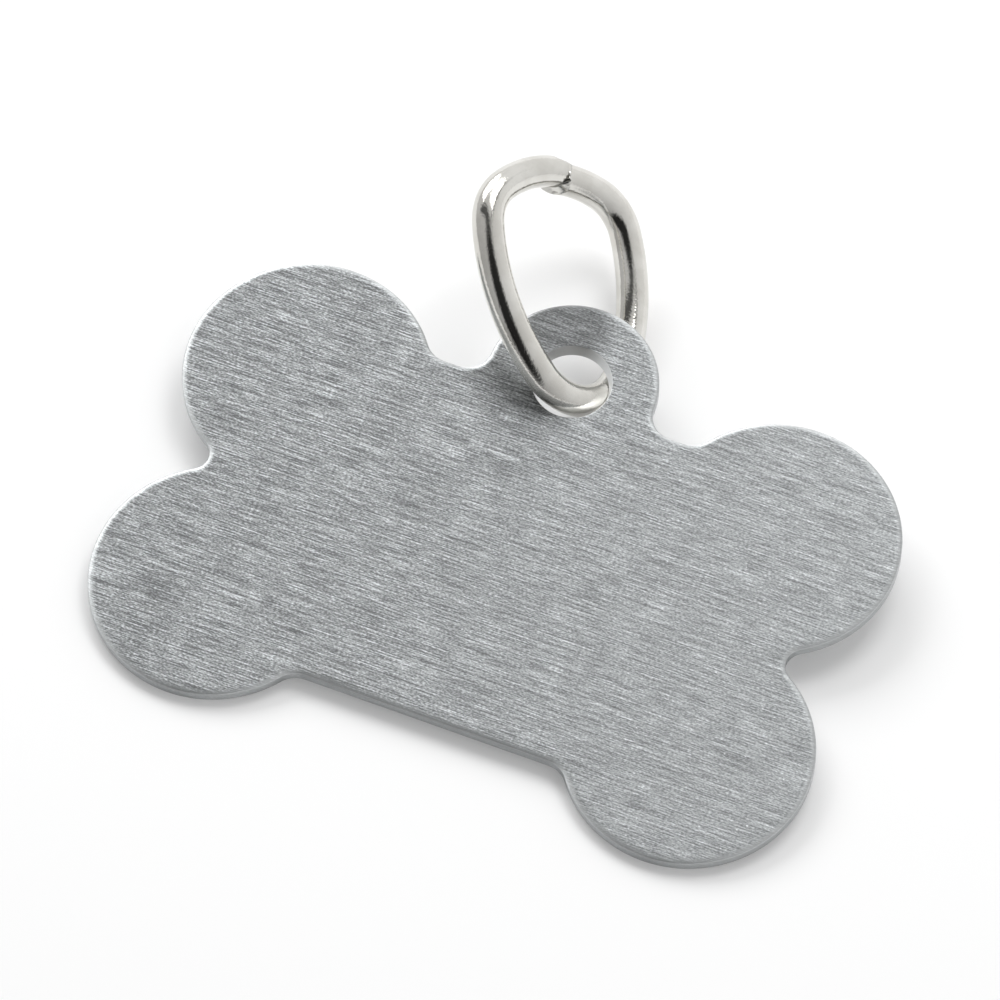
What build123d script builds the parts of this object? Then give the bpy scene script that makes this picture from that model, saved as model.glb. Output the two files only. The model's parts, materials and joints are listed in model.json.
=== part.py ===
from build123d import *
import math
import os

# A blank bone-shaped pet tag with a bent-wire ring through its lug, as it lies on a table.
# Lengths are in millimetres, angles in degrees.
# In the row's frame +X runs along the bone, +Y towards the lug, +Z up from the table.

# The stamped blank
lobe_radius = 6.34
lobe_spacing_x = 25.32
lobe_spacing_y = 12.4
waist_width = 18.85
waist_fillet_share = 0.248
end_notch_fillet = 0.95
blank_thickness = 0.7
edge_break = 0.14

# The lug and its hole, which share a centre
lug_offset = 10.62
lug_radius = 4.42
lug_fillet_share = 0.5
hole_diameter = 3.7
rim_round = 0.2

# The ring's wire, and its loop measured along the middle of the wire
wire_diameter = 1.66
loop_length = 11.86
loop_width = 9.09
bow_radius = 3.1
side_radius = 11.43
corner_radius = 2.69
crown_radius = 6.42

# The cut in the crown: its distance right of the middle, the gap between the ends,
# and how far the left end stands out past the right one
cut_offset = 1.1
cut_gap = 0.06
end_step = 0.36

# How the ring lies in the hole
hole_play_share = 0.795
play_heading = -72.8
tip_heading = 99.2
ring_turn = 26.9
bow_angle = 16.5
stop_clearance = 0.07

# Helpers for the resting pose
right_angle = 90
steepest_tilt = 20
path_samples = 240
halvings = 40

wire_radius = wire_diameter / 2
hole_radius = hole_diameter / 2
lobe_x = lobe_spacing_x / 2
lobe_y = lobe_spacing_y / 2
half_waist = waist_width / 2
half_thickness = blank_thickness / 2

# The straight shelf between the lug and a lobe, and each one's half width and height on it
lug_half_foot = math.sqrt(lug_radius ** 2 - (lug_offset - half_waist) ** 2)
lobe_half_foot = math.sqrt(lobe_radius ** 2 - (half_waist - lobe_y) ** 2)
shelf_length = lobe_x - lobe_half_foot - lug_half_foot
lug_height = lug_offset + lug_radius - half_waist
lobe_height = lobe_y + lobe_radius - half_waist


def halve(low, high, is_past):
    # the value between low and high where is_past turns true
    for _ in range(halvings):
        middle = (low + high) / 2
        if is_past(middle):
            high = middle
        else:
            low = middle
    return (low + high) / 2


def arrow(heading):
    turn = math.radians(heading)
    return Vector(math.cos(turn), math.sin(turn))


def heading_of(line):
    return math.degrees(math.atan2(line.Y, line.X))


def foot_fillet(run, half_foot, height):
    # the fillet that meets the shelf this far from the foot of a lobe or the lug
    return run * (2 * half_foot + run) / (2 * height)


def blank_outline():
    body = Rectangle(lobe_spacing_x, waist_width)
    lobes = GridLocations(lobe_spacing_x, lobe_spacing_y, 2, 2) * Circle(lobe_radius)
    lug = Pos(0, lug_offset) * Circle(lug_radius)
    outline = body + lobes + lug
    waist = [corner for corner in outline.vertices() if lug_radius < abs(corner.X) < lobe_x]
    waist_run = shelf_length * waist_fillet_share
    outline = fillet(waist, foot_fillet(waist_run, lobe_half_foot, lobe_height))
    notches = [corner for corner in outline.vertices() if abs(corner.X) > lobe_x]
    outline = fillet(notches, end_notch_fillet)
    lug_feet = [corner for corner in outline.vertices() if abs(corner.X) < lug_radius]
    lug_run = shelf_length * lug_fillet_share
    return fillet(lug_feet, foot_fillet(lug_run, lug_half_foot, lug_height))


def tag_blank():
    # the front face lies at zero and the thickness goes down from it
    plate = extrude(blank_outline(), amount=-blank_thickness)
    faces = plate.faces().sort_by(Axis.Z)
    plate = chamfer(faces[0].edges() + faces[-1].edges(), edge_break)
    plate -= Pos(0, lug_offset) * extrude(Circle(hole_radius), amount=blank_thickness, both=True)
    rims = [edge for edge in plate.edges() if edge.is_closed]
    return fillet(rims, rim_round)


def bow_centre():
    return Vector(0, bow_radius - loop_length / 2)


def half_loop(reach, end_x):
    # the right half of the loop, from the middle of its bow up to the cut in its crown
    bow = bow_centre()
    crown = Vector(0, reach - crown_radius)
    side_x = loop_width / 2 - side_radius
    side_rise = math.sqrt((side_radius - bow_radius) ** 2 - side_x ** 2)
    side = Vector(side_x, bow.Y + side_rise)
    # the corner's centre is a known distance from the side's centre and the crown's
    side_leg = side_radius - corner_radius
    crown_leg = crown_radius - corner_radius
    between = crown - side
    along = (side_leg ** 2 - crown_leg ** 2 + between.length ** 2) / (2 * between.length)
    beside = math.sqrt(side_leg ** 2 - along ** 2)
    forward = between.normalized()
    corner = side + forward * along + forward.rotate(Axis.Z, right_angle) * beside
    bow_end = heading_of(bow - side)
    side_end = heading_of(corner - side)
    corner_end = heading_of(corner - crown)
    crown_end = math.degrees(math.acos(end_x / crown_radius))
    return [
        CenterArc(bow, bow_radius, -right_angle, bow_end + right_angle),
        CenterArc(side, side_radius, bow_end, side_end - bow_end),
        CenterArc(corner, corner_radius, side_end, corner_end - side_end),
        CenterArc(crown, crown_radius, corner_end, crown_end - corner_end),
    ]


def loop_path():
    right = half_loop((loop_length - end_step) / 2, cut_gap / 2 + cut_offset)
    left = half_loop((loop_length + end_step) / 2, cut_gap / 2 - cut_offset)
    return Wire(right + [arc.mirror(Plane.YZ) for arc in left])


def jump_ring(path):
    section = Plane(origin=path @ 0, z_dir=path % 0) * Circle(wire_radius)
    return sweep(section, path=path)


def tip_line():
    # the line the ring tips about: through the wire in the hole, halfway through the blank
    play = (hole_radius - wire_radius) * hole_play_share
    start = Vector(0, lug_offset, -half_thickness) + arrow(play_heading) * play
    return Plane(origin=start, x_dir=arrow(tip_heading), z_dir=Axis.Z.direction)


def ring_place(lean):
    # the ring's own frame in the blank's frame, leaning up from the blank
    in_hole = bow_centre() + arrow(-right_angle - bow_angle) * bow_radius
    turned = Rot(Z=ring_turn - right_angle)
    return tip_line().location * Rot(X=lean) * turned * Pos(-in_hole)


def hole_gap(points):
    # the least distance from the wire to the lug round its hole
    gaps = []
    for point in points:
        out = math.hypot(point.X, point.Y - lug_offset)
        if out < lug_radius:
            inward = max(hole_radius + rim_round - out, 0)
            height = max(abs(point.Z + half_thickness) - half_thickness + rim_round, 0)
            gaps.append(math.hypot(inward, height) - rim_round - wire_radius)
    return min(gaps)


def moved(points, place):
    return [(place * Pos(point)).position for point in points]


def resting_lean(points):
    # the ring tips over from upright until its wire comes to the lug
    def is_clear(lean):
        return hole_gap(moved(points, ring_place(lean))) > stop_clearance

    return halve(0, right_angle, is_clear)


def resting_tilt(points):
    # the lug is held up until the bow of the ring and the far lobes stand on one table
    lobe_foot = edge_break - lobe_y - lobe_radius

    def lifts(tilt):
        turn = math.radians(tilt)
        ring_low = min(p.Y * math.sin(turn) + p.Z * math.cos(turn) for p in points) - wire_radius
        lobe_low = lobe_foot * math.sin(turn) - blank_thickness * math.cos(turn)
        return ring_low > lobe_low

    return halve(0, steepest_tilt, lifts)


def assemble():
    path = loop_path()
    points = [path @ (index / path_samples) for index in range(path_samples + 1)]
    ring_in_blank = ring_place(resting_lean(points))
    tilted = Rot(X=resting_tilt(moved(points, ring_in_blank)))
    blank = tilted * tag_blank()
    ring = tilted * ring_in_blank * jump_ring(path)
    box = Compound([blank, ring]).bounding_box()
    on_table = Pos(0, -box.center().Y, -box.min.Z)
    return {"tag_blank": on_table * blank, "jump_ring": on_table * ring}


os.makedirs("parts", exist_ok=True)
for name, piece in assemble().items():
    export_step(piece, f"parts/{name}.step")
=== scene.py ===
import bmesh
import bpy
import json
import math
from mathutils import Matrix, Vector


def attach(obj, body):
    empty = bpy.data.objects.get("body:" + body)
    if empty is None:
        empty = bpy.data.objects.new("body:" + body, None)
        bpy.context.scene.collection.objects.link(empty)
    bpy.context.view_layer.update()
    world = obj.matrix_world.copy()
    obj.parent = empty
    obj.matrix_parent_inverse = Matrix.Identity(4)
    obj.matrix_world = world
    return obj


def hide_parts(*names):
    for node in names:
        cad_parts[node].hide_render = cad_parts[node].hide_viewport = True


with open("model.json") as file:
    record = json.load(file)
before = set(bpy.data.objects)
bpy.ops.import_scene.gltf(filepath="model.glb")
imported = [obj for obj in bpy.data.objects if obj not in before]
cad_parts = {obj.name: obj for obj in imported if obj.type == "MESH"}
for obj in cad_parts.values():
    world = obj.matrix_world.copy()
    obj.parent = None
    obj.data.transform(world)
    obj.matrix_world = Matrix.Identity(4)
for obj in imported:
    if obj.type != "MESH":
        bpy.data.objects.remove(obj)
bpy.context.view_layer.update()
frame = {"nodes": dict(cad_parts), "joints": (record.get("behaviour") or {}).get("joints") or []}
print("frame loaded:", sorted(frame["nodes"]))

mm = 0.001
tiny = 0.0005 * mm
quarterTurn = math.pi / 2
patchFull = 0.65  # shares of a patch's half width where its fade begins and ends
patchGone = 1.15

# the hinge of the ring tells how the tag lies on the table
hinge = frame["joints"][0]
tipPoint = Vector(hinge["pos_m"])
tipAxis = Vector(hinge["axis"]).normalized()
tilt = math.atan2(tipAxis.z, tipAxis.y)


def onCircle(centre, radius, turn):
    return centre + Vector((math.cos(turn), math.sin(turn), 0)) * radius


def headingOf(line):
    return math.atan2(line.y, line.x)


def vertsOf(geom):
    return [item for item in geom if isinstance(item, bmesh.types.BMVert)]


def edgesOf(geom):
    return [item for item in geom if isinstance(item, bmesh.types.BMEdge)]


def finishPiece(name, bm, place, material, body, node):
    # the place goes into the mesh, so the object itself stays at the origin
    bmesh.ops.transform(bm, matrix=place, verts=bm.verts)
    mesh = bpy.data.meshes.new(name)
    bm.to_mesh(mesh)
    bm.free()
    mesh.materials.append(material)
    piece = bpy.data.objects.new(name, mesh)
    bpy.context.scene.collection.objects.link(piece)
    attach(piece, body)
    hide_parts(node)
    print(name, "has", len(mesh.polygons), "faces")


def plug(tree, socket, value):
    # a number is set on the socket, an output is wired to it
    if isinstance(value, bpy.types.NodeSocket):
        tree.links.new(value, socket)
    else:
        socket.default_value = value


def calc(tree, operation, first, second=0.0, third=0.0):
    node = tree.nodes.new("ShaderNodeMath")
    node.operation = operation
    for socket, value in zip(node.inputs, (first, second, third)):
        plug(tree, socket, value)
    return node.outputs[0]


def ramp(tree, value, low, high, start=0.0, end=1.0):
    node = tree.nodes.new("ShaderNodeMapRange")
    node.interpolation_type = "SMOOTHSTEP"
    parts = {"Value": value, "From Min": low, "From Max": high, "To Min": start, "To Max": end}
    for name, part in parts.items():
        plug(tree, node.inputs[name], part)
    return node.outputs["Result"]


def stretch(tree, vector, scale, shift):
    node = tree.nodes.new("ShaderNodeMapping")
    tree.links.new(vector, node.inputs["Vector"])
    node.inputs["Scale"].default_value = scale
    node.inputs["Location"].default_value = shift
    return node.outputs[0]


def noise(tree, vector, scale, shift, detail):
    # even noise about zero, in cycles to one unit of the vector along each axis
    node = tree.nodes.new("ShaderNodeTexNoise")
    tree.links.new(stretch(tree, vector, scale, shift), node.inputs["Vector"])
    node.inputs["Scale"].default_value = 1
    node.inputs["Detail"].default_value = detail
    return calc(tree, "SUBTRACT", node.outputs[0], 0.5)


def blend(tree, factor, first, second):
    node = tree.nodes.new("ShaderNodeMix")
    node.data_type = "RGBA"
    colours = [socket for socket in node.inputs if socket.type == "RGBA"]
    plug(tree, node.inputs["Factor"], factor)
    plug(tree, colours[0], first)
    plug(tree, colours[1], second)
    return [socket for socket in node.outputs if socket.type == "RGBA"][0]


def weighted(tree, parts):
    total = 0.0
    for part, weight in parts:
        total = calc(tree, "MULTIPLY_ADD", part, weight, total)
    return total


def softPatch(tree, u, v, patch):
    # the gain inside the patch, fading to nothing at its edge
    middleU, middleV, wide, tall, lean, gain = patch
    fromV = calc(tree, "SUBTRACT", v, middleV)
    fromU = calc(tree, "SUBTRACT", u, calc(tree, "MULTIPLY_ADD", fromV, lean, middleU))
    across = calc(tree, "POWER", calc(tree, "DIVIDE", fromU, wide), 2.0)
    along = calc(tree, "POWER", calc(tree, "DIVIDE", fromV, tall), 2.0)
    return ramp(tree, calc(tree, "SQRT", calc(tree, "ADD", across, along)), patchFull, patchGone, gain, 0.0)


def newMaterial(name):
    material = bpy.data.materials.new(name)
    material.use_nodes = True
    tree = material.node_tree
    return material, tree, tree.nodes["Principled BSDF"]


# the stamped blank, in its own frame: front face at zero, bone along x, lug towards y
blankShape = {
    "lobeRadius": 6.34 * mm,
    "lobeX": 12.66 * mm,
    "lobeY": 6.2 * mm,
    "halfWaist": 9.425 * mm,
    "waistFillet": 1.366 * mm,
    "endFillet": 0.95 * mm,
    "lugY": 10.62 * mm,
    "lugRadius": 4.42 * mm,
    "lugFillet": 1.31 * mm,
    "holeRadius": 2.04 * mm,
    "holeTaper": 0.19 * mm,  # the punch leaves the hole narrower at the back
    "thickness": 0.7 * mm,
    "rollWidth": 0.36 * mm,  # the face droops a little towards its stamped edge
    "rollDrop": 0.09 * mm,
    "rollSteps": 5,
    "cornerRound": 0.05 * mm,
    "holeRound": 0.05 * mm,
    "roundSteps": 4,
    "arcStep": math.radians(2.5),
    "fewestSteps": 2,
    "sharpAngle": math.radians(45),
    "cornerFacing": (0.3, 0.95),  # how far up the part of a corner faces that gets a painted highlight
    # painted highlight: the upward-facing part of each rounded corner is moved towards the bright hole-wall
    # colour
    "cornerHighlight": 1.35,
    "holeWear": 2,
    "grainLean": (0.3, 0.9),  # how the grain slides along and across as it goes down a wall
    "wireHeading": math.radians(-72.8),  # where the wire leans in the hole
    "wirePlay": 0.811 * mm,
}

blankLook = {
    "light": (0.832, 0.8606, 0.8726, 1),
    "dark": (0.19, 0.197, 0.1995, 1),
    "worn": (0.54, 0.555, 0.56, 1),  # along the stamped edge, where the grain fades
    "wornShare": 0.75,
    "freshAndHighlight": (0.93, 0.94, 0.945, 1),  # the punched wall of the hole, and the painted highlight on the upper corners
    "freshAndHighlightShare": 0.85,
    # colour of the painted shade that the ring casts on the lug
    "ringShadeColour": (0.05, 0.05, 0.05, 1),
    "wornRoughness": 0.5,
    "roughness": 0.55,
    "anisotropy": 0.8,
    # each layer of the grain: its weight, cycles to the millimetre, shift and detail
    "streaks": (1.22, (0.3, 13, 1), (3, 0, 0), 1.5),
    "dashes": (0.95, (1.1, 14, 1), (0, 8, 6), 1),
    "specks": (1.25, (7, 14, 1), (0, 5, 2), 1),
    "mottle": (0.2, (0.35, 1.3, 1), (7, 2, 4), 3),
    "nicks": (0.5, (5, 8, 1), (1, 3, 9), 0),
    "nickStart": 0.3,  # how high the noise has to be for a nick, and for a full one
    "nickFull": 0.36,
    "middleTone": 0.5,
    "sparkle": 1.65,  # above one, bright lines stand on a darker ground
    "leftGrain": 1.25,  # the grain stands out more at the left end
    "rightGrain": 0.8,
    "grainReach": 17,  # millimetres from the middle to where the grain stops changing
    "bump": 0.25,
    "bumpDepth": 0.01 * mm,
    "ringShade": (-1.4, 13.6, 2.4, 2.6, 0.0, 0.48),  # painted shade of the ring on the lug, in millimetres
}


def spinVert(bm, vert, centre, sweep):
    steps = max(blankShape["fewestSteps"], math.ceil(abs(sweep) / blankShape["arcStep"] - 0.001))
    made = bmesh.ops.spin(bm, geom=[vert], cent=centre, axis=(0, 0, 1), angle=sweep, steps=steps)
    return vertsOf(made["geom_last"])[0]


def drawArc(bm, vert, centre, end):
    # the short way round the centre, until level with the end point
    sweep = headingOf(end - centre) - headingOf(vert.co - centre)
    return spinVert(bm, vert, centre, (sweep + math.pi) % (2 * math.pi) - math.pi)


def drawLine(bm, vert, end):
    made = bmesh.ops.extrude_vert_indiv(bm, verts=[vert])["verts"][0]
    bmesh.ops.translate(bm, verts=[made], vec=end - made.co)
    return made


def drawHalfOutline(bm, inward, height, wearAndHighlight):
    # from the top of the lug down the right side to the middle of the long edge
    b = blankShape
    before = set(bm.edges)
    shelf = b["halfWaist"] - inward
    lug = Vector((0, b["lugY"], height))
    upLobe = Vector((b["lobeX"], b["lobeY"], height))
    lowLobe = Vector((b["lobeX"], -b["lobeY"], height))
    lugRise = b["halfWaist"] + b["lugFillet"]
    waistRise = b["halfWaist"] + b["waistFillet"]
    lugReach = math.sqrt((b["lugRadius"] + b["lugFillet"]) ** 2 - (lugRise - b["lugY"]) ** 2)
    lobeReach = math.sqrt((b["lobeRadius"] + b["waistFillet"]) ** 2 - (waistRise - b["lobeY"]) ** 2)
    endReach = math.sqrt((b["lobeRadius"] + b["endFillet"]) ** 2 - b["lobeY"] ** 2)
    lugFoot = Vector((lugReach, lugRise, height))
    upFoot = Vector((b["lobeX"] - lobeReach, waistRise, height))
    lowFoot = Vector((upFoot.x, -waistRise, height))
    notch = Vector((b["lobeX"] + endReach, 0, height))
    first = bmesh.ops.create_vert(bm, co=lug + Vector((0, b["lugRadius"] - inward, 0)))["vert"][0]
    vert = drawArc(bm, first, lug, lugFoot)
    vert = drawArc(bm, vert, lugFoot, Vector((lugFoot.x, shelf, height)))
    vert = drawLine(bm, vert, Vector((upFoot.x, shelf, height)))
    vert = drawArc(bm, vert, upFoot, upLobe)
    vert = spinVert(bm, vert, upLobe, headingOf(notch - upLobe) - headingOf(upFoot - upLobe))
    vert = drawArc(bm, vert, notch, lowLobe)
    vert = spinVert(bm, vert, lowLobe, headingOf(lowFoot - lowLobe) - headingOf(notch - lowLobe))
    vert = drawArc(bm, vert, lowFoot, Vector((lowFoot.x, -shelf, height)))
    last = drawLine(bm, vert, Vector((0, -shelf, height)))
    made = [edge for edge in bm.edges if edge not in before]
    layer = bm.verts.layers.float["wearAndHighlight"]
    for edge in made:
        for vert in edge.verts:
            vert[layer] = wearAndHighlight
    return first, last, made


def closeFace(bm, outline, radius):
    # back up the middle and round half of the hole, then filled
    first, last, edges = outline
    before = set(bm.edges)
    lug = Vector((0, blankShape["lugY"], last.co.z))
    foot = drawLine(bm, last, lug - Vector((0, radius, 0)))
    kept = set(bm.edges)
    top = spinVert(bm, foot, lug, math.pi)
    hole = [edge for edge in bm.edges if edge not in kept]
    bmesh.ops.contextual_create(bm, geom=[top, first])
    middle = [edge for edge in bm.edges if edge not in before]
    bmesh.ops.contextual_create(bm, geom=edges + middle)
    return hole


def makeTagBlank(place, material):
    b = blankShape
    bm = bmesh.new()
    bm.verts.layers.float.new("wearAndHighlight")
    rings = [drawHalfOutline(bm, 0, -b["thickness"], 1)]
    for step in range(b["rollSteps"] + 1):
        left = 1 - step / b["rollSteps"]
        rings.append(drawHalfOutline(bm, b["rollWidth"] * (1 - left), -b["rollDrop"] * left ** 2, left))
    for under, over in zip(rings, rings[1:]):
        bmesh.ops.bridge_loops(bm, edges=under[2] + over[2])
    backHole = closeFace(bm, rings[0], b["holeRadius"] - b["holeTaper"])
    frontHole = closeFace(bm, rings[-1], b["holeRadius"])
    bmesh.ops.bridge_loops(bm, edges=backHole + frontHole)
    bmesh.ops.mirror(bm, geom=bm.verts[:] + bm.edges[:] + bm.faces[:], axis="X", merge_dist=tiny)
    bmesh.ops.remove_doubles(bm, verts=bm.verts, dist=tiny)
    bmesh.ops.recalc_face_normals(bm, faces=bm.faces)
    lug = Vector((0, b["lugY"]))
    rims = [edge for edge in bm.edges if edge.is_manifold and edge.calc_face_angle() > b["sharpAngle"]]
    holeRims = [edge for edge in rims if (edge.verts[0].co.xy - lug).length < b["holeRadius"] + tiny]
    corners = [edge for edge in rims if edge not in holeRims]
    layer = bm.verts.layers.float["wearAndHighlight"]
    lowest, highest = b["cornerFacing"]
    for edges, size in ((holeRims, b["holeRound"]), (corners, b["cornerRound"])):
        edges = [edge for edge in edges if edge.is_valid]
        made = bmesh.ops.bevel(bm, geom=edges, offset=size, offset_type="OFFSET", affect="EDGES",
                               segments=b["roundSteps"], profile=0.5, material=-1, clamp_overlap=False)
        for vert in made["verts"]:
            # painted highlight on the upward-facing part of the rounded corners
            if lowest < vert.normal.z < highest:
                vert[layer] *= b["cornerHighlight"]
    for vert in bm.verts:
        if (vert.co.xy - lug).length < b["holeRadius"] + b["holeRound"] / 2:
            vert[layer] = b["holeWear"]
    grain = bm.loops.layers.uv.new("grain")
    leanX, leanY = b["grainLean"]
    for face in bm.faces:
        face.smooth = abs(face.normal.z) < 0.99999  # all but the two flat faces
        for corner in face.loops:
            x, y, z = corner.vert.co / mm
            corner[grain].uv = (x + leanX * z, y + leanY * z)  # millimetres along and across the bone
    finishPiece("tagBlank", bm, place, material, "tag", "tag_blank")


def makeBrushedAluminium():
    look = blankLook
    material, tree, shader = newMaterial("brushedAluminium")
    layer = tree.nodes.new("ShaderNodeUVMap")
    layer.uv_map = "grain"
    grain = layer.outputs[0]
    layers = []
    for name in ("streaks", "dashes", "specks", "mottle"):
        weight, scale, shift, detail = look[name]
        layers.append((noise(tree, grain, scale, shift, detail), weight))
    tone = weighted(tree, layers)
    split = tree.nodes.new("ShaderNodeSeparateXYZ")
    plug(tree, split.inputs[0], grain)
    along, across, _ = split.outputs
    fade = ramp(tree, along, -look["grainReach"], look["grainReach"], look["leftGrain"], look["rightGrain"])
    tone = calc(tree, "MAXIMUM", calc(tree, "MULTIPLY_ADD", tone, fade, look["middleTone"]), 0.0)
    weight, scale, shift, detail = look["nicks"]
    nicks = noise(tree, grain, scale, shift, detail)
    nicks = ramp(tree, nicks, look["nickStart"], look["nickFull"], 0.0, weight)
    tone = calc(tree, "ADD", calc(tree, "POWER", tone, look["sparkle"]), nicks)
    wearAndHighlight = tree.nodes.new("ShaderNodeAttribute")
    wearAndHighlight.attribute_name = "wearAndHighlight"
    # the punched hole wall's own bright colour, and the painted highlight on the upper corners
    freshAndHighlight = ramp(tree, wearAndHighlight.outputs["Fac"], 1.0, blankShape["holeWear"], 0.0, look["freshAndHighlightShare"])
    worn = ramp(tree, wearAndHighlight.outputs["Fac"], 0.1, 0.9, 0.0, look["wornShare"])
    grained = blend(tree, tone, look["dark"], look["light"])
    colour = blend(tree, worn, grained, look["worn"])
    colour = blend(tree, freshAndHighlight, colour, look["freshAndHighlight"])
    # painted shade: the lug darkened beside the ring, where the ring shades it
    ringShade = softPatch(tree, along, across, look["ringShade"])
    plug(tree, shader.inputs["Base Color"], blend(tree, ringShade, colour, look["ringShadeColour"]))
    spread = calc(tree, "MULTIPLY_ADD", worn, look["wornRoughness"] - look["roughness"], look["roughness"])
    plug(tree, shader.inputs["Roughness"], spread)
    bump = tree.nodes.new("ShaderNodeBump")
    bump.inputs["Strength"].default_value = look["bump"]
    bump.inputs["Distance"].default_value = look["bumpDepth"]
    plug(tree, bump.inputs["Height"], tone)
    plug(tree, shader.inputs["Normal"], bump.outputs[0])
    tangent = tree.nodes.new("ShaderNodeTangent")
    tangent.direction_type = "UV_MAP"
    tangent.uv_map = "grain"
    plug(tree, shader.inputs["Tangent"], tangent.outputs[0])
    shader.inputs["Metallic"].default_value = 1
    shader.inputs["Anisotropic"].default_value = look["anisotropy"]
    shader.inputs["Anisotropic Rotation"].default_value = 0.25
    return material


# the ring, in its own plane: bow at the low end of y, cut in the crown
ringShape = {
    "wireRadius": 0.83 * mm,
    "length": 11.86 * mm,
    "width": 9.09 * mm,
    "bowRadius": 3.1 * mm,
    "sideRadius": 11.43 * mm,
    "cornerRadius": 2.69 * mm,
    "crownRadius": 6.42 * mm,
    "cutOffset": 0.68 * mm,
    "cutGap": 0.03 * mm,
    "endStep": 0.36 * mm,
    "lean": math.radians(39.235),
    "turn": math.radians(26.9),
    "bowAngle": math.radians(16.5),
    "around": 56,
    "arcStep": math.radians(3),
    "fewestSteps": 3,
    "tail": 1.1 * mm,  # length of wire that the cut has shaped at each end
    "tailSteps": 8,
    # each end: the share of the wire's radius where its outer slope starts, the slope's length,
    # and how far its ridge stands out
    "leftNose": (0.22, 0.95 * mm, 0.0),
    "rightNose": (0.6, 0.05 * mm, 0.45 * mm),
    "ridge": -0.16,  # the ridge's height on the end and its spread, as shares of the wire's radius
    "ridgeSpread": 0.7,
    "slant": 0.32,  # how far the cut leans across the wire
    "ragged": 0.11 * mm,
    "raggedWaves": (17, 5.3, 1),  # two waves, to the millimetre, and the shift of the second
}

ringLook = {
    "colour": (0.73, 0.719, 0.684, 1),
    "tarnish": (0.63, 0.616, 0.578, 1),  # faint clouds in the plating
    "roughness": 0.1,
    "clouds": ((600, 600, 600), (2, 5, 1), 3),  # cycles to the metre, shift and detail
    "cloudEdge": 0.2,
    "grit": ((9000, 9000, 9000), (0, 0, 0), 2),
    "bump": 0.8,
    "bumpDepth": 0.01 * mm,
}


def halfLoop(reach, endX):
    # centres and headings of the arcs from the middle of the bow up to the cut
    r = ringShape
    bow = Vector((0, r["bowRadius"] - r["length"] / 2, 0))
    crown = Vector((0, reach - r["crownRadius"], 0))
    sideX = r["width"] / 2 - r["sideRadius"]
    side = Vector((sideX, bow.y + math.sqrt((r["sideRadius"] - r["bowRadius"]) ** 2 - sideX ** 2), 0))
    sideLeg = r["sideRadius"] - r["cornerRadius"]
    crownLeg = r["crownRadius"] - r["cornerRadius"]
    between = crown - side
    along = (sideLeg ** 2 - crownLeg ** 2 + between.length_squared) / (2 * between.length)
    forward = between.normalized()
    beside = Vector((-forward.y, forward.x, 0))
    corner = side + forward * along + beside * math.sqrt(sideLeg ** 2 - along ** 2)
    turns = [-quarterTurn, headingOf(bow - side), headingOf(corner - side),
             headingOf(corner - crown), math.acos(endX / r["crownRadius"])]
    return [bow, side, corner, crown], turns


def closeEnd(bm, loop):
    # a flat end, divided straight across so that it can be shaped into slopes
    cap = bmesh.ops.contextual_create(bm, geom=edgesOf(loop))["faces"][0]
    ring = [corner.vert for corner in cap.loops]
    ring.sort(key=lambda vert: (round(vert.co.xy.length / tiny), vert.co.z))
    pairs = zip(ring[1:-1:2], ring[2:-1:2])
    for low, high in pairs:
        bmesh.ops.connect_verts(bm, verts=[low, high])


def shapeEnd(bm, centre, endTurn, towards, nose):
    # the pliers' slopes: wire slid back round the crown on the outside, and forward at the ridge
    r = ringShape
    tailTurn = r["tail"] / r["crownRadius"]
    topStart, topBack, reach = nose
    firstWave, secondWave, waveShift = r["raggedWaves"]
    for vert in bm.verts:
        line = vert.co - centre
        behind = (endTurn - headingOf(line)) * towards / tailTurn
        if not -0.01 < behind < 0.999 or line.y < 0:  # not in the tail
            continue
        out = (line.xy.length - r["crownRadius"]) / r["wireRadius"]
        back = towards * r["slant"] * vert.co.z
        back += max(0, out - topStart) / (1 - topStart) * topBack
        back -= max(0, 1 - abs(out - r["ridge"]) / r["ridgeSpread"]) * reach
        if out > topStart:
            wave = math.sin(vert.co.z / mm * firstWave) * math.sin(vert.co.z / mm * secondWave + waveShift)
            back += r["ragged"] * wave
        slide = -towards * back * (1 - behind) / r["crownRadius"]
        bmesh.ops.rotate(bm, verts=[vert], cent=centre, matrix=Matrix.Rotation(slide, 3, "Z"))


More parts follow.
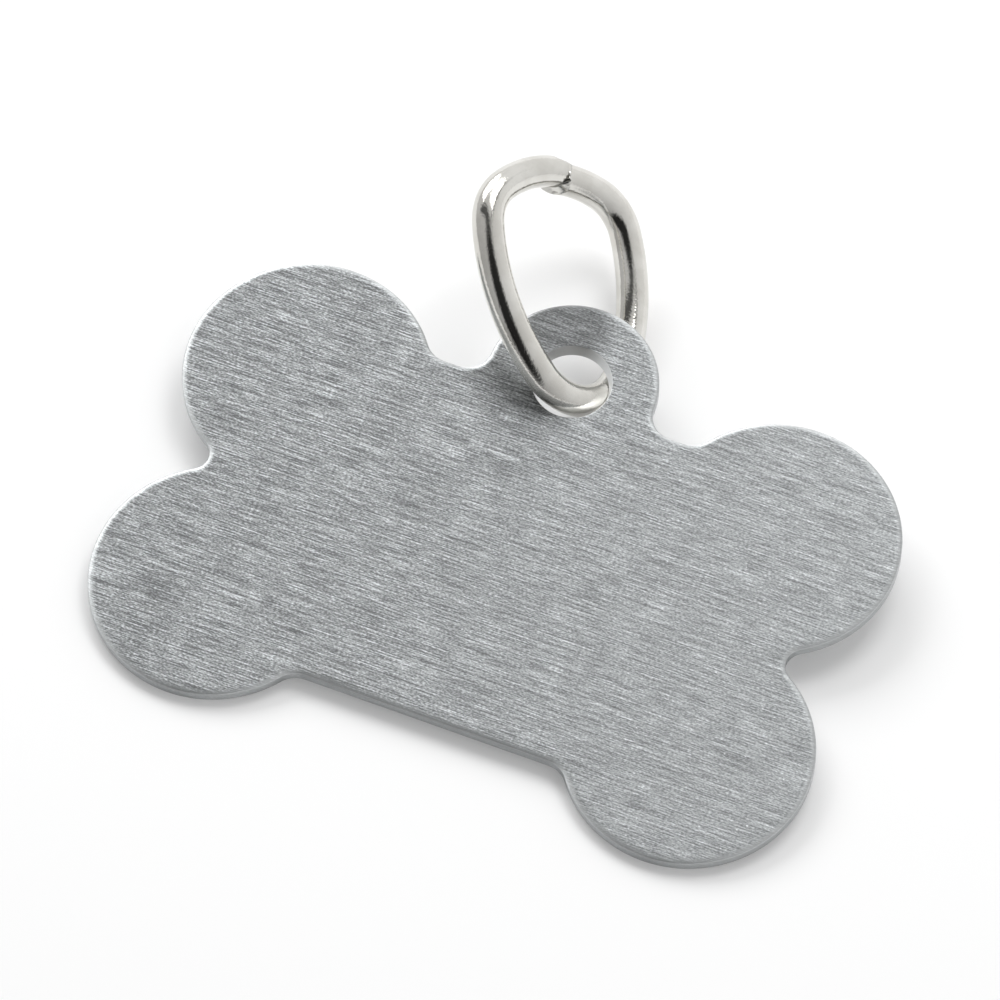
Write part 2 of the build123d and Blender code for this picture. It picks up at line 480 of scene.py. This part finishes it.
def makeJumpRing(place, material):
    r = ringShape
    rightCentres, rightTurns = halfLoop((r["length"] - r["endStep"]) / 2, r["cutGap"] / 2 + r["cutOffset"])
    leftCentres, leftTurns = halfLoop((r["length"] + r["endStep"]) / 2, r["cutGap"] / 2 - r["cutOffset"])
    tailTurn = r["tail"] / r["crownRadius"]
    arcs = []
    for index in (3, 2, 1, 0):
        arcs.append((rightCentres[index], rightTurns[index] - rightTurns[index + 1]))
    for index in (0, 1, 2, 3):
        centre = Vector((-leftCentres[index].x, leftCentres[index].y, 0))
        arcs.append((centre, leftTurns[index] - leftTurns[index + 1]))
    # both ends get a short run of close rings
    arcs[0] = (arcs[0][0], arcs[0][1] + tailTurn)
    arcs[-1] = (arcs[-1][0], arcs[-1][1] + tailTurn)
    arcs.insert(0, (arcs[0][0], -tailTurn))
    arcs.append((arcs[-1][0], -tailTurn))
    bm = bmesh.new()
    start = onCircle(rightCentres[3], r["crownRadius"], rightTurns[4])
    stand = Matrix.Rotation(rightTurns[4], 4, "Z") @ Matrix.Rotation(quarterTurn, 4, "X")
    bmesh.ops.create_circle(bm, segments=r["around"], radius=r["wireRadius"],
                            matrix=Matrix.Translation(start) @ stand)
    rightEnd = bm.verts[:] + bm.edges[:]
    leftEnd = rightEnd
    for index, (centre, sweep) in enumerate(arcs):
        steps = max(r["fewestSteps"], math.ceil(abs(sweep) / r["arcStep"]))
        if index in (0, len(arcs) - 1):
            steps = r["tailSteps"]
        made = bmesh.ops.spin(bm, geom=leftEnd, cent=centre, axis=(0, 0, 1), angle=sweep, steps=steps)
        leftEnd = made["geom_last"]
    bmesh.ops.recalc_face_normals(bm, faces=bm.faces)
    for face in bm.faces:
        face.smooth = True
    for end in (rightEnd, leftEnd):
        closeEnd(bm, end)
    shapeEnd(bm, rightCentres[3], rightTurns[4], 1, r["rightNose"])
    shapeEnd(bm, leftCentres[3], math.pi - leftTurns[4], -1, r["leftNose"])
    bmesh.ops.remove_doubles(bm, verts=bm.verts, dist=tiny)
    bmesh.ops.recalc_face_normals(bm, faces=bm.faces)
    finishPiece("jumpRing", bm, place, material, "ring", "jump_ring")


def makeBrightNickel():
    look = ringLook
    material, tree, shader = newMaterial("brightNickel")
    place = tree.nodes.new("ShaderNodeTexCoord").outputs["Object"]
    clouds = ramp(tree, noise(tree, place, *look["clouds"]), -look["cloudEdge"], look["cloudEdge"])
    plug(tree, shader.inputs["Base Color"], blend(tree, clouds, look["colour"], look["tarnish"]))
    grit = noise(tree, place, *look["grit"])
    bump = tree.nodes.new("ShaderNodeBump")
    bump.inputs["Strength"].default_value = look["bump"]
    bump.inputs["Distance"].default_value = look["bumpDepth"]
    plug(tree, bump.inputs["Height"], grit)
    plug(tree, shader.inputs["Normal"], bump.outputs[0])
    shader.inputs["Metallic"].default_value = 1
    shader.inputs["Roughness"].default_value = look["roughness"]
    return material


# the wire's place in the hole is the point the hinge goes through
wireInHole = Vector((0, blankShape["lugY"], -blankShape["thickness"] / 2))
wireInHole = onCircle(wireInHole, blankShape["wirePlay"], blankShape["wireHeading"])
blankTurn = Matrix.Rotation(tilt, 4, "X")
blankPlace = Matrix.Translation(tipPoint) @ blankTurn @ Matrix.Translation(-wireInHole)
faceWay = blankTurn.to_3x3() @ Vector((0, 0, 1))
tipTurn = Matrix((tipAxis, faceWay.cross(tipAxis), faceWay)).transposed().to_4x4()
bowCentre = Vector((0, ringShape["bowRadius"] - ringShape["length"] / 2, 0))
wireOnBow = onCircle(bowCentre, ringShape["bowRadius"], -quarterTurn - ringShape["bowAngle"])
ringLean = Matrix.Rotation(ringShape["lean"], 4, "X")
ringTurn = ringLean @ Matrix.Rotation(ringShape["turn"] - quarterTurn, 4, "Z")
ringPlace = Matrix.Translation(tipPoint) @ tipTurn @ ringTurn @ Matrix.Translation(-wireOnBow)

makeTagBlank(blankPlace, makeBrushedAluminium())
makeJumpRing(ringPlace, makeBrightNickel())

photoView = {
    "azimuth": math.radians(18.841),
    "elevation": math.radians(59.193),
    "roll": math.radians(2.884),
    "distance": 414.018 * mm,
    "aim": Vector((-1.01, -1.386, 1.716)) * mm,
    "lens": 296.743,
    "sensor": 36,
    "near": 10 * mm,
    "far": 10,
}


def makeCamera():
    p = photoView
    azimuth = p["azimuth"]
    level = math.cos(p["elevation"])
    back = Vector((math.sin(azimuth) * level, -math.cos(azimuth) * level, math.sin(p["elevation"])))
    data = bpy.data.cameras.new("photoCamera")
    data.lens = p["lens"]
    data.sensor_width = p["sensor"]
    data.clip_start = p["near"]
    data.clip_end = p["far"]
    camera = bpy.data.objects.new("photoCamera", data)
    bpy.context.scene.collection.objects.link(camera)
    turned = (-back).to_track_quat("-Z", "Y").to_matrix() @ Matrix.Rotation(p["roll"], 3, "Z")
    camera.matrix_world = Matrix.Translation(p["aim"] + back * p["distance"]) @ turned.to_4x4()
    bpy.context.scene.camera = camera


paper = {
    "size": 3,
    "colour": (0.78, 0.78, 0.78, 1),
    "glow": 0.18,  # only what the camera and mirrors see
}


def makeFloor():
    bm = bmesh.new()
    bmesh.ops.create_grid(bm, x_segments=1, y_segments=1, size=paper["size"])
    mesh = bpy.data.meshes.new("paperFloor")
    bm.to_mesh(mesh)
    bm.free()
    floor = bpy.data.objects.new("paperFloor", mesh)
    bpy.context.scene.collection.objects.link(floor)
    material, tree, shader = newMaterial("whitePaper")
    shader.inputs["Base Color"].default_value = paper["colour"]
    shader.inputs["Roughness"].default_value = 1
    shader.inputs["Specular IOR Level"].default_value = 0
    shader.inputs["Emission Color"].default_value = (1, 1, 1, 1)
    path = tree.nodes.new("ShaderNodeLightPath").outputs
    seen = calc(tree, "MAXIMUM", path["Is Camera Ray"], path["Is Glossy Ray"])
    seen = calc(tree, "MAXIMUM", seen, path["Is Transmission Ray"])
    plug(tree, shader.inputs["Emission Strength"], calc(tree, "MULTIPLY", seen, paper["glow"]))
    mesh.materials.append(material)


# each patch of the sky: middle, half widths, lean, and how much light it takes or adds
tent = {
    "lowest": -0.5,  # the map of the sky stops this far below the floor's level
    "level": 0.69,
    "rightGain": 0.1,
    "backGain": 0.3,
    "shade": (0.0, -0.45, 0.35, 0.55, 0.1, 0.96),
    "flap": (-0.35, 0.04, 0.4, 0.12, 0.0, 0.85),
    "seam": (0.3, 0.33, 0.06, 0.26, 0.5, 0.75),
    "panel": (-0.1, 0.5, 0.3, 0.16, 0.0, 0.6),
}

# each soft box: where its middle is, in metres, its width and height, and its radiance
boxes = {
    "backBox": ((-0.36, 0.38, 0.31), 0.4, 0.25, 7.5),
    "topBox": ((0.02, 0.14, 0.19), 0.12, 0.1, 4.8),
}


def makeLight():
    # a pale tent, open and dark towards the camera, read on a flat map of the sky
    t = tent
    world = bpy.data.worlds.new("paleTent")
    bpy.context.scene.world = world
    world.use_nodes = True
    tree = world.node_tree
    split = tree.nodes.new("ShaderNodeSeparateXYZ")
    plug(tree, split.inputs[0], tree.nodes.new("ShaderNodeTexCoord").outputs["Generated"])
    x, y, z = split.outputs
    shrink = calc(tree, "SQRT", calc(tree, "ADD", calc(tree, "MAXIMUM", z, t["lowest"]), 1.0))
    u = calc(tree, "DIVIDE", x, shrink)
    v = calc(tree, "DIVIDE", y, shrink)
    strength = weighted(tree, ((u, t["rightGain"]), (v, t["backGain"])))
    strength = calc(tree, "ADD", strength, t["level"])
    strength = calc(tree, "ADD", strength, softPatch(tree, u, v, t["panel"]))
    for name in ("shade", "flap", "seam"):
        left = calc(tree, "SUBTRACT", 1.0, softPatch(tree, u, v, t[name]))
        strength = calc(tree, "MULTIPLY", strength, left)
    plug(tree, tree.nodes["Background"].inputs["Strength"], strength)
    plug(tree, tree.nodes["Background"].inputs["Color"], (1, 1, 1, 1))
    for name, (middle, wide, tall, radiance) in boxes.items():
        lamp = bpy.data.lights.new(name, "AREA")
        lamp.shape = "RECTANGLE"
        lamp.size = wide
        lamp.size_y = tall
        lamp.energy = radiance * math.pi * wide * tall
        box = bpy.data.objects.new(name, lamp)
        bpy.context.scene.collection.objects.link(box)
        box.location = middle
        box.rotation_euler = (-box.location).to_track_quat("-Z", "Y").to_euler()


makeFloor()
makeLight()
makeCamera()
bpy.context.scene.view_settings.view_transform = "Standard"
print("studio ready")
